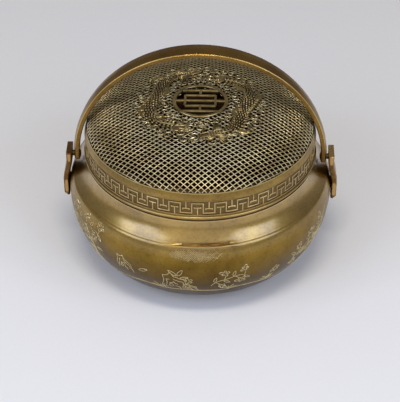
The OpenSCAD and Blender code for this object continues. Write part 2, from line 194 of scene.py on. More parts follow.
def piece(name, parts, finish, body, nodes=(), crease=38):
    """One object from lists of points and quads in mm, riding on its body."""
    verts = np.concatenate([v for v, f in parts])
    starts = np.cumsum([0] + [len(v) for v, f in parts])
    faces = np.concatenate([f + s for (v, f), s in zip(parts, starts)])
    mesh = bpy.data.meshes.new(name)
    mesh.vertices.add(len(verts))
    mesh.vertices.foreach_set("co", (verts * 0.001).astype(np.float32).ravel())
    mesh.loops.add(faces.size)
    mesh.loops.foreach_set("vertex_index", faces.astype(np.int32).ravel())
    mesh.polygons.add(len(faces))
    mesh.polygons.foreach_set("loop_start", np.arange(0, faces.size, 4, dtype=np.int32))
    mesh.update(calc_edges=True)
    mesh.validate()
    mesh.set_sharp_from_angle(angle=math.radians(crease))
    mesh.materials.append(finish)
    obj = bpy.data.objects.new(name, mesh)
    bpy.context.scene.collection.objects.link(obj)
    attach(obj, body)
    if nodes:
        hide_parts(*nodes)
    return obj


low = np.radians(np.linspace(90, 0, 61))
belly = np.concatenate([
    np.stack([foot_r + (belly_r - foot_r) * np.cos(low), belly_h * (1 - np.sin(low))], 1),
    bezier((belly_r, belly_h), (belly_r, belly_h + 0.5 * line_rise),
           (line_r + 0.6 * line_in, line_h - 0.22 * line_rise), (line_r, line_h), 30),
    bezier((line_r, line_h), (line_r - 0.45 * shoulder_in, line_h + 0.18 * shoulder_rise),
           (neck_r + 0.05 * shoulder_in, neck_h - 0.48 * shoulder_rise), (neck_r, neck_h), 50)])
lengths = np.concatenate([[0], np.cumsum(np.linalg.norm(np.diff(belly, axis=0), axis=1))])


def on_belly(turn, run, lift=0.0):
    """Points and normals of the vessel's outside: turn in radians from the front, run in mm up the wall."""
    turn, run = np.broadcast_arrays(np.asarray(turn, float), np.asarray(run, float))
    r, z = np.interp(run, lengths, belly[:, 0]), np.interp(run, lengths, belly[:, 1])
    dr = np.interp(run + 0.4, lengths, belly[:, 0]) - np.interp(run - 0.4, lengths, belly[:, 0])
    dz = np.interp(run + 0.4, lengths, belly[:, 1]) - np.interp(run - 0.4, lengths, belly[:, 1])
    size = np.hypot(dr, dz)
    nr, nz = dz / size, -dr / size
    r, z = r + lift * nr, z + lift * nz
    points = np.stack([r * np.sin(turn), -r * np.cos(turn), z], -1)
    normals = np.stack([nr * np.sin(turn), -nr * np.cos(turn), nz], -1)
    return points, normals


ground_h = 20.3
line_run = np.interp(line_h, belly[:, 1], lengths)
ground_run = np.interp(ground_h, belly[:, 1], lengths)
coarse, fine = 0.9, 0.45
# Rows of the wall's mesh, closer together at the two engraved lines
rows = np.concatenate([
    np.arange(0, ground_run - 1.2, coarse), np.arange(ground_run - 0.8, ground_run + 0.9, fine),
    np.arange(ground_run + 1.5, line_run - 2.4, coarse), np.arange(line_run - 2.0, line_run + 3.7, fine),
    np.linspace(line_run + 4.4, lengths[-1], 13)])
turns = np.linspace(0, 2 * math.pi, 600, endpoint=False)
turn_grid, run_grid = np.meshgrid(turns, rows)
sink = np.zeros_like(turn_grid)
for at, deep in ((line_run + 1.1, 0.17), (line_run, 0.1), (ground_run, 0.12)):
    sink += deep * np.clip(1 - np.abs(run_grid - at) / fine, 0, 1)
# One old knock at the front: a groove above the shoulder line and the welt that it raised below
dent_turn, dent_half, dent_deep, welt_high = 0.065, 0.25, 0.9, 0.75
swing = (turn_grid + math.pi) % (2 * math.pi) - math.pi
dent = np.clip(1 - ((swing - dent_turn) / dent_half) ** 2, 0, 1)
sink += dent * dent_deep * np.exp(-((run_grid - line_run - 2.0) / 0.6) ** 2)
sink -= dent * welt_high * np.exp(-((run_grid - line_run - 0.1) / 0.8) ** 2)
# Shallow ripples left by the hammer: waves up the wall, lobes round it, phase, and depth in mm
for wave, lobes, phase, amount in ((0.31, 7, 0.4, 0.035), (0.19, 11, 1.9, 0.03), (0.53, 17, 4.1, 0.018)):
    ripple = np.sin(run_grid * wave + phase) * np.cos(turn_grid * lobes + phase * 2 + run_grid * 0.1)
    sink += amount * (1 + ripple)
shell, normals = on_belly(turn_grid, run_grid)
shell = shell - (skin + sink)[..., None] * normals


def ring_at(r, z):
    """One turn of points at a radius and height, in step with the shell's."""
    return np.stack([r * np.sin(turns), -r * np.cos(turns), np.full(len(turns), z)], -1)


rim_h, rim_bevel = neck_h - 0.02, 0.8
mouth = [shell[-1], ring_at(neck_r - rim_bevel, rim_h), ring_at(neck_r - wall, rim_h),
         ring_at(neck_r - wall, rim_h - 3)]
foot = [ring_at(foot_r - foot_ring, wall - 0.6), ring_at(foot_r - foot_ring, 0),
        ring_at(foot_r - 0.4, 0), shell[0]]
vessel_parts = [(shell.reshape(-1, 3), grid(len(rows), len(turns), False, True))]
for loops in (mouth, foot):
    vessel_parts.append((np.concatenate(loops), grid(len(loops), len(turns), False, True)))
piece("beaten_vessel", vessel_parts, vessel_brass, "vessel", ["body_shell"])

# Chasing on the belly: plants, rocks and clouds drawn with a chisel in one sitting.
# The cut lines have kept a bright, pale edge against the browned metal round them.
# Freshly cut brass, paler and cleaner than the rubbed wall
cut_brass = old_brass("bright chased brass", "#e2d3a4", "#b8a26a", "#f4eac8", "#7c6638",
                      0.3, 0.45, 8, 0.6, 0.004)


def arc(cx, cy, rx, ry, start, end, n=14):
    """Points of an elliptical arc, angles in degrees."""
    a = np.radians(np.linspace(start, end, n))
    return np.stack([cx + rx * np.cos(a), cy + ry * np.sin(a)], 1)


def scroll(cx, cy, r, turn, curl=1.6, n=26):
    """A spiral that winds in from radius r."""
    t = np.linspace(0, 1, n)
    a = math.radians(turn) + t * curl * 2 * math.pi
    reach = r * (1 - 0.82 * t)
    return np.stack([cx + reach * np.cos(a), cy + reach * np.sin(a)], 1)


def blossom(cx, cy, r, petals=5, turn=0):
    """Open flower: looped petals of uneven length."""
    strokes = []
    t = np.linspace(0, 1, 12)
    for k in range(petals):
        a = math.radians(turn) + (k + 0.04 + 0.86 * t) * 2 * math.pi / petals
        reach = r * (0.22 + (0.64 + 0.2 * math.sin(2.4 * k + turn)) * np.sin(math.pi * t) ** 0.6)
        strokes.append(np.stack([cx + reach * np.cos(a), cy + 0.88 * reach * np.sin(a)], 1))
    return strokes


def leaf_strokes(x, y, length, heading, width=0.34):
    """Pointed leaf in outline."""
    t = np.linspace(0, 1, 9)
    c, s = math.cos(math.radians(heading)), math.sin(math.radians(heading))
    strokes = []
    for side in (-1, 1):
        across = side * width * length * np.sin(math.pi * t ** 0.8) * 0.5
        strokes.append(np.stack([x + length * t * c - across * s, y + length * t * s + across * c], 1))
    return strokes


def flower_spray(lean):
    """Bent stem with three blossoms and leaves."""
    t = np.linspace(0, 1, 18)
    stem = np.stack([lean * (7 * t + 2.2 * np.sin(4 * t)), 17 * t], 1)
    strokes = [stem]
    for x, y, r, petals, turn in ((8, 18.5, 3.6, 6, 10), (-3.5, 13.2, 3.1, 5, 40), (9.6, 9.6, 2.6, 5, 70)):
        strokes += blossom(lean * x, y, r, petals, turn)
    strokes.append(np.array([(lean * 3.4, 9.6), (lean * 0.2, 10.6), (lean * -2.0, 11.8)]))
    strokes.append(np.array([(lean * 4.4, 7.4), (lean * 7.4, 8.6)]))
    leaves = ((1.4, 4.4, 4.6, 158), (5.8, 13.2, 4.6, 172), (0.4, 1.8, 5.4, 20))
    for x, y, length, heading in leaves:
        strokes += leaf_strokes(lean * x, y, length, heading if lean > 0 else 180 - heading)
    return strokes


def rock(width, height, turn):
    """Leaning garden rock: a knobbly outline, broken wrinkles inside it and a hole."""
    strokes = []
    wrinkles = ((1.0, 0.0, 1.0), (0.78, 0.1, 0.42), (0.74, 0.52, 0.93), (0.5, 0.3, 0.72), (0.3, 0.05, 0.45))
    for shrink, start, end in wrinkles:
        t = math.pi * np.linspace(start, end, 34)
        bump = 1 + 0.07 * np.sin(9 * t + turn) + 0.04 * np.sin(17 * t + 2 * turn)
        x, y = width / 2 * bump * np.cos(t) - 0.3 * width * np.sin(t) ** 2, height * bump * np.sin(t) ** 0.9
        strokes.append(shrink * np.stack([x, y], 1))
    strokes.append(arc(-width * 0.2, height * 0.3, width * 0.08, height * 0.09, 0, 360))
    return strokes


def tuft(n, length):
    """Fan of grass blades."""
    strokes = []
    t = np.linspace(0, 1, 7)
    for k in range(n):
        a = math.radians(150 - 120 * k / (n - 1))
        reach = length * (0.75 + 0.25 * math.sin(2.3 * k))
        x = reach * t * math.cos(a) * (0.5 + 0.5 * t)
        y = reach * t * math.sin(a) * (1 - 0.25 * t * abs(math.cos(a)))
        strokes.append(np.stack([x, y], 1))
    return strokes


def pine(lean):
    """Leaning trunk with fans of needles."""
    t = np.linspace(0, 1, 16)
    mid = np.stack([lean * (9 * t ** 1.4 + 1.6 * np.sin(6 * t)), 19 * t], 1)
    strokes = [mid + (0.9, 0), mid - (0.9, 0), mid * (1, 0.9)]
    fans = ((9.5, 19.5, 3.4), (3.0, 17.0, 3.0), (11.0, 13.6, 3.2), (-2.2, 12.2, 2.8), (7.6, 8.2, 2.7))
    for x, y, r in fans:
        strokes.append(arc(lean * x, y, r, r * 0.72, 10, 170, 12))
        for a in np.radians(np.linspace(25, 155, 5)):
            c, s = math.cos(a), math.sin(a)
            spoke = np.array([(0.15 * c, 0.1 * s), (0.95 * c, 0.68 * s)])
            strokes.append(spoke * r + (lean * x, y))
    return strokes


def cloud(width):
    """Drifting cloud: a row of scrolls over a long tail."""
    strokes = [scroll(-width * 0.3, 1.7, 1.7, 200, 1.4), scroll(0, 2.3, 2.2, 210, 1.5)]
    strokes.append(scroll(width * 0.3, 1.6, 1.6, 320, -1.4))
    t = np.linspace(0, 1, 16)
    for q in (0.1, 0.9):
        strokes.append(np.stack([-width * 0.5 + width * t, 0.5 * np.sin(5 * t) - q], 1))
    return strokes


def bough(length, heading, bend):
    """Long bare branch with twigs, leaves and blossoms on both sides, laid along a heading."""
    t = np.linspace(0, 1, 24)
    mid = np.stack([length * t, bend * np.sin(math.pi * t) + 0.7 * np.sin(9 * t)], 1)
    strokes = [mid]
    for k, i in enumerate(np.arange(4, 23.9, 132 / length).astype(int)):
        side = 1 if k % 2 else -1
        x, y = mid[i]
        strokes.append(np.array([(x, y), (x + 1.0, y + side * 1.6), (x + 1.4, y + side * 2.6)]))
        strokes += blossom(x + 1.9, y + side * 5.2, 2.8 + 0.3 * (k % 3), 5, 31 * k)
        strokes += leaf_strokes(x - 0.6, y - side * 0.6, 4.4, -side * 55)
    c, s = math.cos(math.radians(heading)), math.sin(math.radians(heading))
    return [stroke @ np.array([(c, s), (-s, c)]) for stroke in strokes]


def net(width, height, gap):
    """Patch of fine crossed lines with a ragged edge."""
    strokes = []
    t = np.linspace(-1, 1, 15)
    for k, q in enumerate(np.arange(-width, width, gap)):
        for lean in (-1, 1):
            x, y = q + lean * 0.5 * height * t, 0.5 * height * t
            ragged = 1 + 0.25 * math.sin(1.7 * k) + 0.15 * math.sin(4.1 * k)
            kept = (2 * x / width) ** 2 + (2 * y / height) ** 2 < ragged
            if kept.sum() > 2:
                strokes.append(np.stack([x, y], 1)[kept])
    return strokes


chased = []
ridge = [(-1, -0.5), (0, 1), (1, -0.5)]


def chase(strokes, degrees, above_ground, scale=1.0, half=0.2, lift=0.12):
    """Chases a motif on the belly: its foot at an angle from the front and a run over the ground line."""
    for stroke in strokes:
        stroke = np.array(stroke, float) * scale
        run = ground_run + above_ground + stroke[:, 1]
        r = np.interp(run, lengths, belly[:, 0])
        points, up = on_belly(math.radians(degrees) + stroke[:, 0] / r, run, -skin)
        n = len(points)
        taper = 0.6 + 0.4 * np.sin(math.pi * (np.arange(n) + 0.6) / n) ** 0.6
        chased.append(sweep(points, up, half * taper, lift * taper, ridge))


hill = np.linspace(0, 1, 40)
for k in range(12):
    sway = 1.0 * np.sin(2 * math.pi * hill) * math.sin(2.1 * k) + 0.5 * np.sin(5 * hill + k)
    chase([np.stack([36 * hill, sway], 1)], 30 * k - 15, 0.3, 1.0, 0.25)
chase(rock(15, 15, 1.1), -9, 0.6)
chase(rock(8, 7, 2.3), -3, 0.6)
chase(leaf_strokes(0, 0, 6, 140), -9, 15)
chase(leaf_strokes(0, 0, 6, 60), -8.5, 15)
chase(leaf_strokes(0, 0, 5, 15), -7.5, 13)
chase(blossom(0, 0, 3.2), -4, 11)
chase(tuft(5, 7), -17, 0.6)
chase(bough(20, 20, 3.0), 6, 6)
chase(tuft(5, 7), 14, 0.6)
chase(rock(10, 11, 2.6), -33, 8)
chase(leaf_strokes(0, 0, 6, 20), -26, 13)
chase(bough(34, 4, 2), -75, 22, 1.05)
chase(cloud(12), -66, 12)
chase(pine(-1), -50, 1.0, 0.9)
chase(bough(36, 205, 3), 71, 27)
chase(blossom(0, 0, 3.4, 6), 36, 9)
chase(tuft(6, 7), 33, 0.5)
chase(cloud(9), 52, 10)
chase(pine(1), 60, 0.6, 0.8)
for k in range(7):
    at = 96 + 27 * k
    chase((pine, flower_spray)[k % 2](1 if k % 3 else -1), at, 0.8, 1.15)
    chase(rock(10 + k % 3, 6.5, 0.9 * k), at - 6, 0.4)
    chase(cloud(11), at + 13, 24)
    chase(tuft(6, 6), at + 12, 0.5)
piece("chased_lines", chased, cut_brass, "vessel")

# Net of scratches: fine crossed lines under the shoulder line at the front, drawn with a needle.
# They are shallow, and years of rubbing have nearly worn them away.
# Scratched brass, only a little paler than the wall
needle_brass = old_brass("needle-scratched brass", "#c9ad72", "#8f7340", "#e0cb98", "#5c4622",
                         0.32, 0.45, 4, 0.5, 0.003)
chased = []
chase(net(27, 8.5, 1.2), -1, line_run - ground_run - 4.6, 1.0, 0.11, 0.06)
piece("needle_net", chased, needle_brass, "vessel")

# Neck collar: a rolled brass ring soldered inside the neck, smoked dark by the embers.
# Its top guides the lid, and the lip at its foot carries the pan.
# Brass under a film of soot; the same finish stands as painted shade on the grille's strip sides and on the
# dragons' bodies under their scales
smoked_brass = old_brass("smoked brass and painted shade", "#4a3b22", "#2a2115", "#6b5836", "#15110b",
                         0.45, 0.6, 12, 0.6, 0.008)
finish_node("neck_collar", smoked_brass)

# Charcoal pan: a loose spun copper dish that hangs by its rim on the collar's lip.
# The heat has dulled it, and soot lies over most of it.
# Copper gone brown-black and matt from the embers
pan_copper = old_brass("sooted copper", "#4a2f22", "#1f1712", "#7a4d36", "#0f0c0a",
                       0.5, 0.72, 14, 0.6, 0.01)
finish_node("charcoal_pan", pan_copper)

# Lugs: two thick bent brass plates that stand on the belly and carry the handle.
# Each is filed round its edges and held to the wall by two rivets.
# Browner brass of the fittings, smooth from handling
fitting_brass = old_brass("browned smooth brass", "#7e5a2a", "#5b3e1b", "#ba965c", "#2e1d0b",
                          0.25, 0.4, 16, 0.5, 0.005)
pivot_h, bail_r, lug_t, lug_w = 62.2, 71.8, 3.4, 12.4
lug_top, lug_foot, lug_low_x, lug_in_x = pivot_h + 3.8, pivot_h - 25.7, belly_r + 0.1, bail_r + 1.0
bend_low, bend_high, foot_round, heads_out = belly_h + 0.35 * line_rise, pivot_h - 1.6, 2.2, 0.3
curl = 1 - np.cos(np.radians(np.linspace(0, 90, 8)))
heights = np.concatenate([
    lug_foot + foot_round * curl, np.linspace(lug_foot + foot_round, bend_low, 6)[1:-1],
    np.linspace(bend_low, bend_high, 22), np.linspace(bend_high, lug_top, 4)[1:]])
ease = np.clip((heights - bend_low) / (bend_high - bend_low), 0, 1)
edge_x = lug_low_x + (lug_in_x - lug_low_x) * ease ** 2 * (3 - 2 * ease)
short = np.clip(lug_foot + foot_round - heights, 0, foot_round)
outer_x = edge_x + lug_t - heads_out - foot_round + np.sqrt(foot_round ** 2 - short ** 2)
outline = np.concatenate([np.stack([edge_x, heights], 1), np.stack([outer_x, heights], 1)[::-1]])


def inset(loop, by):
    """A closed outline moved inwards by a distance, corner by corner."""
    ahead, behind = np.roll(loop, -1, 0) - loop, loop - np.roll(loop, 1, 0)
    ahead /= np.linalg.norm(ahead, axis=1)[:, None]
    behind /= np.linalg.norm(behind, axis=1)[:, None]
    normal = np.stack([ahead[:, 1] + behind[:, 1], -ahead[:, 0] - behind[:, 0]], 1)
    size = np.linalg.norm(normal, axis=1)[:, None]
    area = np.sum(loop[:, 0] * np.roll(loop[:, 1], -1) - loop[:, 1] * np.roll(loop[:, 0], -1))
    return loop - np.sign(area) * by * 2 * normal / size ** 2


# Distance in from the plate's front or back face, with how far the edge is rounded off there
filing = ((0.0, 1.2), (0.0, 0.7), (0.2, 0.25), (0.65, 0.0))
for side, lug_name in ((-1, "left_lug"), (1, "right_lug")):
    loops = []
    for face in (-1, 1):
        for back, by in filing[::-face]:
            loop = inset(outline, by)
            y = np.full(len(loop), -face * (back - lug_w / 2))
            loops.append(np.stack([side * loop[:, 0], y, loop[:, 1]], 1))
    parts = [(np.concatenate(loops), grid(len(loops), len(outline), False, True))]
    half = len(outline) // 2
    for loop in (loops[0], loops[-1]):
        cheeks = np.concatenate([loop[:half], loop[half:][::-1]])
        parts.append((cheeks, grid(2, half, False, False)))
    piece(lug_name + "_plate", parts, fitting_brass, "vessel", [lug_name])

# Rivets and pivot pins: brass rod, hammered over into low domed heads at both ends.
# Two rivets hold each lug, and one pin carries each end of the handle.
for name in ("left_lug_rivets", "right_lug_rivets", "left_pivot_pin", "right_pivot_pin"):
    finish_node(name, fitting_brass)

# Handle: a forged brass strap bent to a half circle, with a low ridge along its back.
# It widens to the top, and its clipped ends are bored for the pivot pins.
# Olive-brown strap brass; the bright lines along its edges are a separate strip of rubbed brass and painted
# highlight
strap_brass = old_brass("olive strap brass", "#937030", "#66491c", "#e0c480", "#3a2b10",
                        0.24, 0.38, 18, 0.5, 0.005)
bail_in, bail_ridge, end_half, top_half, clip = bail_r - 3.3, 0.6, 3.2, 5.2, 1.34
bevel = 0.44
drops = [-end_half, -end_half + 0.05, -end_half + 0.4 * clip, -end_half + clip, -0.5 * end_half, -0.5]
stations = [(-1, h, 0.0) for h in drops] + [(0, 0.0, a) for a in np.linspace(0, 180, 181)]
stations += [(1, h, 180.0) for h in drops[::-1]]
loops = []
for end, drop, a in stations:
    c, s = -math.cos(math.radians(a)), math.sin(math.radians(a))
    half = end_half + (top_half - end_half) * s
    if end:
        half = min(end_half, end_half - clip + (drop + end_half)) if drop > -end_half else 0.3
    spread = max(half - 0.02 - bevel, 0.0)
    section = [(bail_in, -spread), (bail_in + bevel, -half), (bail_r - bail_ridge - bevel, -half),
               (bail_r - bail_ridge, -spread), (bail_r - 0.05, -0.2), (bail_r - 0.05, 0.2),
               (bail_r - bail_ridge, spread), (bail_r - bail_ridge - bevel, half), (bail_in + bevel, half),
               (bail_in, spread)]
    loops.append([(c * r, y, pivot_h + s * r + drop) for r, y in section])
loops = np.array(loops)
strap = [(loops.reshape(-1, 3), grid(len(loops), loops.shape[1], False, True))]
piece("bail_strap", strap, strap_brass, "handle",
      ["bail_arch", "left_bail_end", "right_bail_end"], 30)

# Edges of the handle: the two corners along its back, where hands have carried it for years.
# The metal there is rubbed through its brown skin, and the bright strip laid on them is also a painted
# highlight along these corners.
# Brass polished by handling, and pale as a painted highlight
carried_brass = old_brass("hand-polished brass and painted edge highlight", "#e2c47a", "#b8954e", "#e2c47a", "#6b5126",
                          0.3, 0.42, 30, 0.5, 0.003)
a = np.radians(np.linspace(2, 178, 160))
edges = []
for q in (-1, 1):
    y = q * (end_half + (top_half - end_half) * np.sin(a) - bevel / 2 - 0.02)
    reach = bail_r - bail_ridge - bevel / 2 - 0.02
    path = np.stack([-reach * np.cos(a), y, pivot_h + reach * np.sin(a)], -1)
    out = np.stack([-np.cos(a) * 0.7, np.full(len(a), 0.7 * q), np.sin(a) * 0.7], -1)
    # Half-width of the bright strip, a painted highlight, wider towards the handle's ends
    rubbed = 0.14 + 0.2 * np.sqrt(np.abs(np.cos(a)))
    edges.append(sweep(path, out, rubbed, 0.1, [(-1, -0.4), (-0.5, 0.7), (0, 1), (0.5, 0.7), (1, -0.4)]))
piece("bail_edge_highlights", edges, carried_brass, "handle")

# Lid band: a turned brass ring with a bead at its foot, a sunk frieze and a plain leaning border.
# It stands on the vessel's neck, over the top of the collar.
# Turned brass with little wax left on it, so it shines yellower than the shoulder
band_brass = old_brass("turned yellow brass", "#a98a40", "#644918", "#e0c88a", "#443216",
                       0.28, 0.42, 23, 0.42, 0.012, wax=0.3)
band_r, band_in, lid_z, band_top, lip_r, border_h = 65.0, 63.5, neck_h + 0.1, neck_h + 13.6, 63.8, 4.3
bead_low, bead_h, bead_out, frieze_low, frieze_top, frieze_sink = lid_z + 0.9, 1.8, 0.65, 70.9, 79.6, 0.42
a = np.linspace(-math.pi / 2, math.pi / 2, 8)
bead = np.stack([band_r - 0.2 + (bead_out + 0.2) * np.cos(a), bead_low + bead_h / 2 * (1 + np.sin(a))], 1)
u = np.linspace(0, 1, 10)[1:]
border = np.stack([lip_r + (band_r - lip_r) * (1 - u ** 1.4), band_top + border_h * u], 1)
seam_r = band_r - 0.25
groove = [(band_r - 0.3, bead_low + bead_h + 0.4), (band_r, bead_low + bead_h + 0.8)]
frieze_r = band_r - frieze_sink
frieze = [(band_r, frieze_low - 0.15), (frieze_r, frieze_low), (frieze_r, frieze_top),
          (band_r, frieze_top + 0.15), (band_r, band_top - 0.4), (band_r - 0.25, band_top)]
inside = [(lip_r - 0.05, band_top + 0.3 * border_h), (band_in, band_top), (band_in, lid_z)]
standing = [(band_in, lid_z), (seam_r, lid_z), (seam_r, bead_low)]
band_line = np.concatenate([standing, bead, groove, frieze, border, inside])
piece("turned_lid_band", [lathe(band_line, 400)], band_brass, "lid", ["lid_band"])

# Seam: the set-back foot of the band, below the bead, where the lid meets the vessel's neck.
# Old polish and soot have caked in it and turned red-brown.
# Caked red-brown polish over brass
seam_grime = old_brass("red-brown caked polish", "#8f6a3c", "#6b4826", "#b08a52", "#4a2f18",
                       0.45, 0.6, 6, 0.6, 0.008)
caked_r = seam_r + 0.05
caked = lathe([(caked_r, lid_z + 0.1), (caked_r, bead_low)], 400)
piece("lid_seam", [caked], seam_grime, "lid")

# Frieze ground: the floor of the sunk frieze, pickled dark so that the pattern stands out.
# It is part of the band, punched matt between the ribs.
# Brass stained dark brown and left matt
stained_brass = old_brass("stained frieze brass", "#7e6538", "#5e4924", "#a98d55", "#362812",
                          0.38, 0.52, 7, 0.5, 0.006)
floor_r = frieze_r + 0.03
piece("frieze_ground", [lathe([(floor_r, frieze_low + 0.05), (floor_r, frieze_top - 0.05)], 400)],
      stained_brass, "lid")

# Key pattern: a raised square meander with hooked bars between its turns, filed out of the band.
# Its ribs are rubbed brighter than the ground.
# Brass rubbed pale on the ribs of the frieze
rib_brass = old_brass("rubbed frieze brass", "#d2b97e", "#9c8049", "#f0e2b8", "#6b5428",
                      0.25, 0.4, 9, 0.5, 0.005)


def corners(points, step):
    """A path of straight runs, with points every step or less."""
    points = np.array(points, float)
    out = [points[:1]]
    for a, b in zip(points[:-1], points[1:]):
        n = max(1, math.ceil(np.linalg.norm(b - a) / step))
        out.append(a + (b - a) * np.linspace(0, 1, n + 1)[1:, None])
    return np.concatenate(out)


key_count, rib_half, rib_high = 33, 0.37, 0.38
key_w = 2 * math.pi * band_r / key_count
rib = [(-1, 0), (-0.86, 0.8), (-0.6, 1), (0.6, 1), (0.86, 0.8), (1, 0)]
low_rail, high_rail, middle = frieze_low + 1.15, frieze_top - 1.15, (frieze_low + frieze_top) / 2
# Strokes of one turn of the meander: across in shares of its width, and height
turn_strokes = [
    [(0, low_rail), (0.25, low_rail), (0.25, high_rail),
     (0.75, high_rail), (0.75, low_rail), (1, low_rail)],
    [(0.5, frieze_low), (0.5, middle + 0.2)],
    [(0.36, middle + 1.0), (0.36, middle + 0.2), (0.64, middle + 0.2), (0.64, middle + 1.0)],
    [(1, frieze_top), (1, middle - 0.2)],
    [(0.86, middle - 1.0), (0.86, middle - 0.2), (1.14, middle - 0.2), (1.14, middle - 1.0)]]
ribs = []
for k in range(key_count):
    for stroke in turn_strokes:
        stroke = corners([((k + 0.5 + x) * key_w, z) for x, z in stroke], 1.4)
        a = stroke[:, 0] / band_r
        out = np.stack([np.sin(a), -np.cos(a), 0 * a], -1)
        path = out * floor_r + np.stack([0 * a, 0 * a, stroke[:, 1]], -1)
        ribs.append(sweep(path, out, rib_half, rib_high, rib))
piece("key_pattern", ribs, rib_brass, "lid")

# Grille: narrow brass strips laid along both slants of a diamond mesh and soldered into one dome.
# The strips end in a ring that is soldered inside the border, and stop short of the roundel.
# Pale, thinly tarnished brass of the pierced work, worn bright on top; the strips' dark sides are painted
# shade
grille_brass = old_brass("pale worn brass", "#dcca98", "#998255", "#faefd2", "#382a13",
                         0.28, 0.42, 9, 0.5, 0.003)
finish_node("grille_ring", smoked_brass)
grille_r, dome_rise, hole_r = lip_r - 0.1, 14.6, 13.2
dome_z, dome_flat, dome_steep = band_top + border_h - 0.1, 2.5, 0.66
cell_w, cell_l, strip_half, strip_deep = 4.3, 3.0, 0.26, 0.9


def on_dome(x, y):
    """Points and normals over a plan position on the dome, beaten flatter on top and steep at its edge."""
    x, y = np.broadcast_arrays(np.asarray(x, float), np.asarray(y, float))
    r = np.minimum(np.hypot(x, y), grille_r) + 1e-6
    q = r / grille_r
    least = 0.004
    left = np.clip(1 - q ** dome_flat, least, 1)
    fall = dome_rise * dome_steep * left ** (dome_steep - 1) * dome_flat * q ** (dome_flat - 1) / grille_r
    points = np.stack([x, y, dome_z + dome_rise * (left - least) ** dome_steep], -1)
    normals = np.stack([fall * x / r, fall * y / r, np.ones_like(r)], -1)
    return points, normals / np.linalg.norm(normals, axis=-1, keepdims=True)


plan = np.linspace(0, grille_r, 300)
chords = np.linalg.norm(np.diff(on_dome(plan, 0 * plan)[0], axis=0), axis=1)
arc_length = np.concatenate([[0], np.cumsum(chords)])
slant = math.atan2(cell_l, cell_w)
pitch = cell_w * math.sin(slant)
bar_top = [(-1, -0.2), (-0.66, -0.05), (0, 0), (0.66, -0.05), (1, -0.2)]
bar_sides = [(1, -0.2), (1, -strip_deep), (-1, -strip_deep), (-1, -0.2)]
strips, sides = [], []
for turn in (-slant, slant):
    for k in range(-30, 31):
        u, off = np.linspace(-1.3 * grille_r, 1.3 * grille_r, 220), k * pitch
        x, y = u * math.cos(turn) - off * math.sin(turn), u * math.sin(turn) + off * math.cos(turn)
        p, q = (x / grille_r) ** 2, (y / grille_r) ** 2
        x, y = x * (1 - 0.12 * q + 0.04 * p), y * (1 - 0.12 * p + 0.04 * q)
        wrap = np.interp(np.hypot(x, y), arc_length, plan) / (np.hypot(x, y) + 1e-9)
        kept = (np.hypot(x, y) < arc_length[-1]) & (np.hypot(x, y) > hole_r)
        x, y = x * wrap, y * wrap
        for run in np.split(np.arange(len(u)), np.nonzero(np.diff(kept))[0] + 1):
            if kept[run[0]] and len(run) > 3:
                points, up = on_dome(x[run], y[run])
                strips.append(sweep(points, up, strip_half, 1.0, bar_top))
                sides.append(sweep(points, up, strip_half, 1.0, bar_sides))
piece("lattice_grille", strips, grille_brass, "lid",
      ["grille_under_strips", "grille_over_strips"], 50)
# Sides of the strips in the dark sooty brass: painted shade, so that the holes read dark
piece("lattice_sides", sides, smoked_brass, "lid")

# Roundel: a cast brass ring filled with a plain fret of bars.
# It is soldered over the round opening in the middle of the grille.
# Darker brass of the cast ornament, brown in its hollows from grime and painted shade
relief_brass = old_brass("brown cast brass", "#b8a26c", "#5c4a27", "#ead9ac", "#20170a",
                         0.28, 0.45, 6, 0.6, 0.006)
roundel_r, rim, bar_w = 15.5, 1.9, 1.5
rail = [(-1, -0.6), (-1, 0.7), (-0.7, 1), (0.7, 1), (1, 0.7), (1, -0.6)]
rim_in = roundel_r - rim
stile_x, rail_gap = rim_in * 0.62, rim_in * 0.36
a = np.linspace(0, 2 * math.pi, 120, endpoint=False)
points, up = on_dome((roundel_r - rim / 2) * np.cos(a), (roundel_r - rim / 2) * np.sin(a))
fret = [sweep(points, up, rim / 2, 1.1, rail, True)]
far_x = math.sqrt(rim_in ** 2 - (2 * rail_gap) ** 2) + 0.4
bars = [((-stile_x, q * rail_gap), (stile_x, q * rail_gap)) for q in (-1, 0, 1)]
bars += [((-far_x, 2 * q * rail_gap), (far_x, 2 * q * rail_gap)) for q in (-1, 1)]
bars += [((q * stile_x, -rail_gap), (q * stile_x, rail_gap)) for q in (-1, 1)]
bars += [((0, q * rail_gap), (0, 2 * q * rail_gap)) for q in (-1, 1)]
bars += [((q * stile_x, 0), (q * (rim_in + 0.4), 0)) for q in (-1, 1)]
for start, end in bars:
    line = corners([start, end], 1.5)
    points, up = on_dome(line[:, 0], line[:, 1])
    fret.append(sweep(points, up, bar_w / 2, 1.05, rail))
piece("roundel_fret", fret, relief_brass, "lid", ["roundel"])

# Dragons: two cast brass creatures that chase each other round the roundel among clouds.
# Scales, manes and claws are chased by hand, and the castings are soldered on the grille.
# Brass rubbed pale on the clouds, which stand out most
cloud_brass = old_brass("rubbed cloud brass", "#d2c294", "#8f7b4c", "#f6ecd0", "#241a0a",
                        0.26, 0.42, 5, 0.6, 0.005)
dragon_w, dragon_mid_r, dragon_wave, dragon_from, dragon_sweep = 9.0, 27.5, 3.0, -72, 130
crown = [(-1, -0.2), (-1, 0.3), (-0.74, 0.68), (-0.38, 0.92), (0, 1),
         (0.38, 0.92), (0.74, 0.68), (1, 0.3), (1, -0.2)]


def dragon_line(t, turn):
    """Middle of a dragon's body in plan, from its neck at 0 to its tail at 1."""
    a = np.radians(dragon_from + dragon_sweep * t + turn)
    r = dragon_mid_r + dragon_wave * np.sin(np.radians(540 * t + 40))
    return np.stack([r * np.cos(a), r * np.sin(a)], -1)


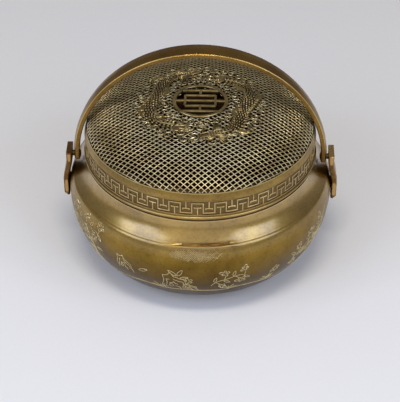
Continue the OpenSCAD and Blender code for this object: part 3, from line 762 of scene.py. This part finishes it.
def blade(at, heading, length, width, high, bend=0.0, n=12):
    """Leaf-shaped piece of relief on the dome, from a root along a heading in degrees."""
    t = np.linspace(0, 1, n)
    a = np.radians(heading + bend * t)
    step = length / (n - 1)
    x = at[0] + np.concatenate([[0], np.cumsum(step * np.cos(a[:-1]))])
    y = at[1] + np.concatenate([[0], np.cumsum(step * np.sin(a[:-1]))])
    points, up = on_dome(x, y)
    shape = np.sin(math.pi * (0.06 + 0.92 * t)) ** 0.8
    return sweep(points, up, width / 2 * shape + 0.05, high * (0.35 + 0.65 * shape), crown)


def limb(at, heading, side):
    """Bent leg with an elbow tuft and four claws."""
    elbow = at + 4.6 * np.array([math.cos(math.radians(heading)), math.sin(math.radians(heading))])
    turned = heading + 62 * side
    wrist = elbow + 3.4 * np.array([math.cos(math.radians(turned)), math.sin(math.radians(turned))])
    parts = [blade(at, heading, 6.2, 3.4, 1.2), blade(elbow, turned, 4.6, 2.3, 1.15)]
    parts.append(blade(elbow, heading + 20 * side, 3.4, 1.0, 1.0, -40 * side))
    for spread in (-60, -20, 20, 60):
        parts.append(blade(wrist, turned + spread, 2.6, 0.9, 1.1, 30 * side))
    return parts


for turn, dragon_name in ((180, "left_dragon"), (0, "right_dragon")):
    parts = []
    t = np.linspace(0, 1, 96)
    line = dragon_line(t, turn)
    width = 0.7 * dragon_w / 2 * (0.4 + 0.6 * np.sin(np.radians(20 + 150 * (1 - t))) ** 0.8)
    points, up = on_dome(line[:, 0], line[:, 1])
    ground = [sweep(points, up, width, 0.6, crown)]
    parts.append(sweep(points, up, 0.4, 1.3, crown))
    along = np.gradient(line, axis=0)
    side = np.stack([-along[:, 1], along[:, 0]], 1) / np.linalg.norm(along, axis=1)[:, None]
    for i in range(2, 94, 3):
        stagger = 0.125 if i % 2 else -0.125
        heading = math.degrees(math.atan2(along[i, 1], along[i, 0]))
        for q in np.linspace(-0.75, 0.75, 4) + stagger:
            high = 0.7 * (1 - 0.55 * q * q) + 0.5
            at = line[i] + q * width[i] * side[i]
            parts.append(blade(at, heading, 1.75, width[i] * 0.46, high, 0.0, 7))
        for q in (-1, 1):
            at = line[i] + 0.85 * q * width[i] * side[i]
            parts.append(blade(at, heading + 52 * q, 3.1, 1.15, 0.9, -20 * q, 8))
    neck, head_a = line[0], dragon_from - 90 + turn
    ahead = np.array([math.cos(math.radians(head_a)), math.sin(math.radians(head_a))])
    beside = np.array([-ahead[1], ahead[0]])
    parts.append(blade(neck - 2 * ahead, head_a + 8, 9.0, 5.4, 0.95))
    parts.append(blade(neck + 3.6 * ahead, head_a + 10, 5.6, 3.2, 1.0))
    for k in range(4):
        for q in (-0.9, 0, 0.9):
            at = neck + (1.5 * k - 1.5) * ahead + q * beside
            parts.append(blade(at, head_a + 8, 1.5, 0.9, 1.3, 0.0, 7))
    for q in (-1, 1):
        parts.append(blade(neck + 3.0 * ahead + 1.9 * q * beside, head_a, 1.9, 1.7, 1.34, 0.0, 7))
        parts.append(blade(neck + 1.6 * ahead + 1.5 * q * beside, head_a + 165 * q, 6.4, 1.3, 1.3, 25 * q))
        parts.append(blade(neck + 7.0 * ahead + 1.4 * q * beside, head_a + 95 * q, 6.0, 0.7, 1.2, 110 * q))
        parts.append(blade(neck + 3.4 * ahead + 1.5 * q * beside, head_a + 4 * q, 5.6, 0.9, 1.25, -16 * q))
        for k in range(7):
            heading = head_a + (92 + 13 * k) * q
            parts.append(blade(neck + 2.2 * q * beside, heading, 7.0 - 0.5 * k, 1.0, 1.15, 42 * q))
    for k in range(-2, 3):
        heading = dragon_from + dragon_sweep + 90 + turn + 24 * k
        parts.append(blade(line[-1], heading, 8.6 - abs(k), 2.2, 1.1, 16 * k))
    for s, q in ((0.16, 1), (0.3, -1), (0.62, 1), (0.76, -1)):
        heading = dragon_from + dragon_sweep * s + turn + (40 if q > 0 else 140)
        parts += limb(dragon_line(np.array(s), turn) + 2.4 * q * side[int(95 * s)] * -1, heading, q)
    clouds = []
    for k in range(22):
        a = math.radians(dragon_from - 48 + 8.2 * k + turn)
        near, away = 20.6 + 1.1 * math.sin(5 * k), 34.0 + 1.3 * math.sin(3 * k)
        for r, wind, size in ((near, 1.2, 2.1), (away, -1.2, 2.5)):
            curve = scroll(r * math.cos(a), r * math.sin(a), size, 70 * k, wind if k % 2 else -wind, 20)
            points, up = on_dome(curve[:, 0], curve[:, 1])
            clouds.append(sweep(points, up, 0.36, 0.8, crown))
    for k in range(5):
        a = math.radians(dragon_from - 44 + 7 * k + turn)
        r = 27.5 + 3.6 * math.sin(2.6 * k)
        curve = scroll(r * math.cos(a), r * math.sin(a), 3.0, 90 * k, 1.3, 22)
        points, up = on_dome(curve[:, 0], curve[:, 1])
        clouds.append(sweep(points, up, 0.45, 0.95, crown))
        parts.append(blade(curve[0], math.degrees(a) + 60 + 40 * k, 5.0, 1.6, 0.9, 50))
    piece(dragon_name + "_relief", parts, relief_brass, "lid", [dragon_name])
    piece(dragon_name + "_clouds", clouds, cloud_brass, "lid")
    # The body under the scales in the dark sooty brass: painted shade between the scales
    piece(dragon_name + "_ground", ground, smoked_brass, "lid")

# Stage: a wide sheet of pale matt paper under the vessel.
# It lies flat and stands for the plain floor of a studio.
floor_mesh = bpy.data.meshes.new("floor")
floor_mesh.from_pydata([(-40, -40, 0), (40, -40, 0), (40, 40, 0), (-40, 40, 0)], [], [(0, 1, 2, 3)])
floor = bpy.data.objects.new("floor", floor_mesh)
bpy.context.scene.collection.objects.link(floor)
# Uncoated paper, matt and a little uneven in tone
paper = bpy.data.materials.new("pale uncoated paper")
paper.use_nodes = True
tree = paper.node_tree
tone = add(tree, "TexNoise", {}, {"Scale": 3.0, "Detail": 2.0})
shade = add(tree, "MixRGB", {}, {"Fac": tone, "Color1": linear("#f0eeea"), "Color2": linear("#f5f3f0")})
tree.links.new(shade, tree.nodes["Principled BSDF"].inputs["Base Color"])
tree.nodes["Principled BSDF"].inputs["Roughness"].default_value = 0.9
floor_mesh.materials.append(paper)

# Studio light: soft panels at the left, the right and behind the camera, and a narrow one overhead.
# They hang well outside the view, and the room round them is dim and grey.
scene = bpy.context.scene
scene.view_settings.view_transform = "Standard"
world = bpy.data.worlds.new("studio")
scene.world = world
world.use_nodes = True
world.node_tree.nodes["Background"].inputs["Color"].default_value = linear("#d0ccc6")
world.node_tree.nodes["Background"].inputs["Strength"].default_value = 0.43


def look(obj, at, aim):
    """Stands a light or camera at a point and turns it to another."""
    at, aim = np.array(at, float), np.array(aim, float)
    back = (at - aim) / np.linalg.norm(at - aim)
    right = np.cross((0, 0, 1), back)
    right /= np.linalg.norm(right)
    axes = [np.append(axis, 0) for axis in (right, np.cross(back, right), back)]
    obj.matrix_world = Matrix(np.column_stack(axes + [np.append(at, 1)]).tolist())


def panel(name, at, wide, high, watts, tint):
    """Soft light panel facing the vessel, in metres."""
    light = bpy.data.lights.new(name, "AREA")
    light.shape, light.size, light.size_y, light.energy = "RECTANGLE", wide, high, watts
    light.color = linear(tint)[:3]
    obj = bpy.data.objects.new(name, light)
    scene.collection.objects.link(obj)
    look(obj, at, (0, 0, 0.05))


panel("left panel", (-0.68, -0.53, 0.6), 0.6, 0.7, 4.4, "#cbdaff")
panel("right panel", (0.66, -0.56, 0.62), 0.6, 0.7, 4.2, "#cbdaff")
panel("top panel", (0.0, -0.42, 1.1), 0.42, 0.16, 3.9, "#fffaf2")
panel("front panel", (0.0, -1.3, 0.68), 1.7, 1.2, 3.6, "#fffaf2")

# Camera: a long lens at the photograph's angle, looking down at the vessel from the front.
# Its distance and its lens come from the rings of the lid and belly.
camera = bpy.data.objects.new("camera", bpy.data.cameras.new("camera"))
scene.collection.objects.link(camera)
scene.camera = camera
camera.data.sensor_fit = "HORIZONTAL"
camera.data.sensor_width = 36
camera.data.lens = 138.9
camera.data.shift_x = -0.0007
rise, aside, far, aim_h = math.radians(38.9), math.radians(1.3), 0.9, 0.02805
level = far * math.cos(rise)
stand = (level * math.sin(aside), -level * math.cos(aside), aim_h + far * math.sin(rise))
look(camera, stand, (0, 0, aim_h))
